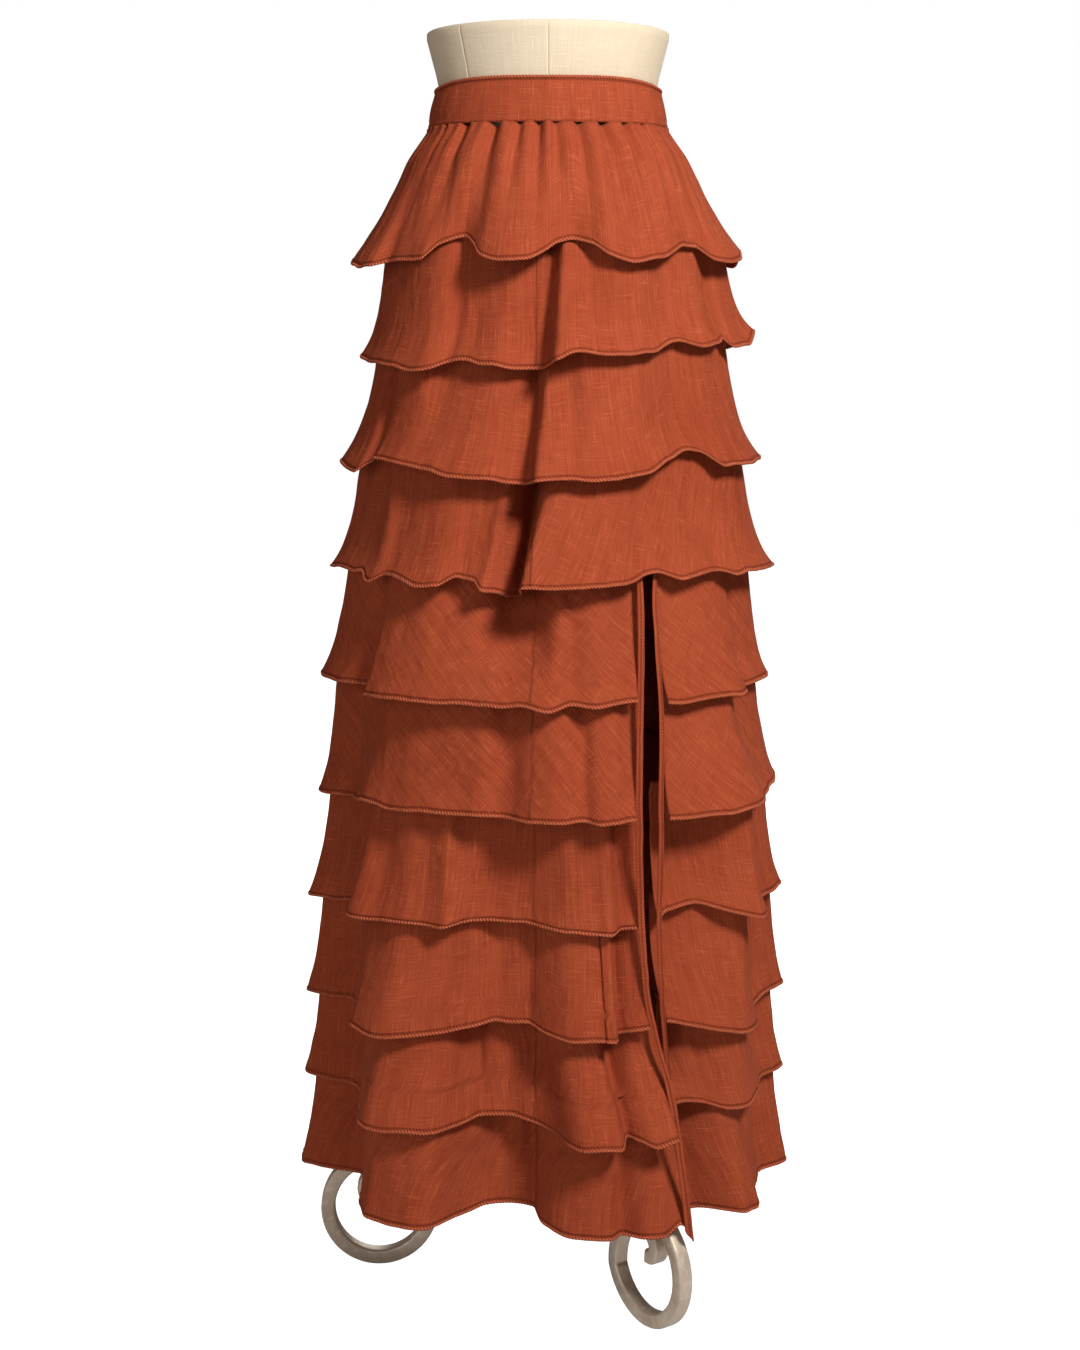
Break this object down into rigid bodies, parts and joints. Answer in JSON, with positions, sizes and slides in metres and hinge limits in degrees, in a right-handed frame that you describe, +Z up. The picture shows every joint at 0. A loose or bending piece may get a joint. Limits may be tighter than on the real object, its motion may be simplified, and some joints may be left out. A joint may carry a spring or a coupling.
{
  "type": "tiered ruffle skirt on a dress form with a scroll-leg stand",
  "caption": "Long linen skirt of overlapping flared ruffle tiers with a front slit, worn on a padded hip form that stands on scroll legs.",
  "frame": {"origin": "on the floor, under the middle of the skirt and of the stand", "axes": "+Z up along the pole; -Y is the front, where the slit is right of the middle; +X to the right as seen from the front"},
  "size_m": [0.487, 0.4251, 1.2115],
  "materials": {
    "rust_linen": "matte slub linen in rust, overlocked hems",
    "form_linen": "natural linen canvas with closed seams",
    "bronze": "champagne bronze flat bar, softly worn"
  },
  "bodies": {
    "root": {"waistband_front": "rust_linen", "waistband_back": "rust_linen", "tier_01_front": "rust_linen", "tier_01_back": "rust_linen", "tier_02_front": "rust_linen", "tier_02_back": "rust_linen", "tier_03_front": "rust_linen", "tier_03_back": "rust_linen", "tier_04_front": "rust_linen", "tier_04_back": "rust_linen", "tier_05_front": "rust_linen", "tier_05_back": "rust_linen", "tier_05_side_front": "rust_linen", "tier_06_front": "rust_linen", "tier_06_back": "rust_linen", "tier_06_side_front": "rust_linen", "tier_07_front": "rust_linen", "tier_07_back": "rust_linen", "tier_07_side_front": "rust_linen", "tier_08_front": "rust_linen", "tier_08_back": "rust_linen", "tier_08_side_front": "rust_linen", "tier_09_front": "rust_linen", "tier_09_back": "rust_linen", "tier_09_side_front": "rust_linen", "tier_10_front": "rust_linen", "tier_10_back": "rust_linen", "tier_10_side_front": "rust_linen", "slit_band_left": "rust_linen", "slit_band_right": "rust_linen", "dress_form": "form_linen", "form_cap": "form_linen", "pole": "bronze", "pole_collar": "bronze", "hub": "bronze", "scroll_leg_1": "bronze", "scroll_leg_2": "bronze", "scroll_leg_3": "bronze"}
  },
  "joints": []
}
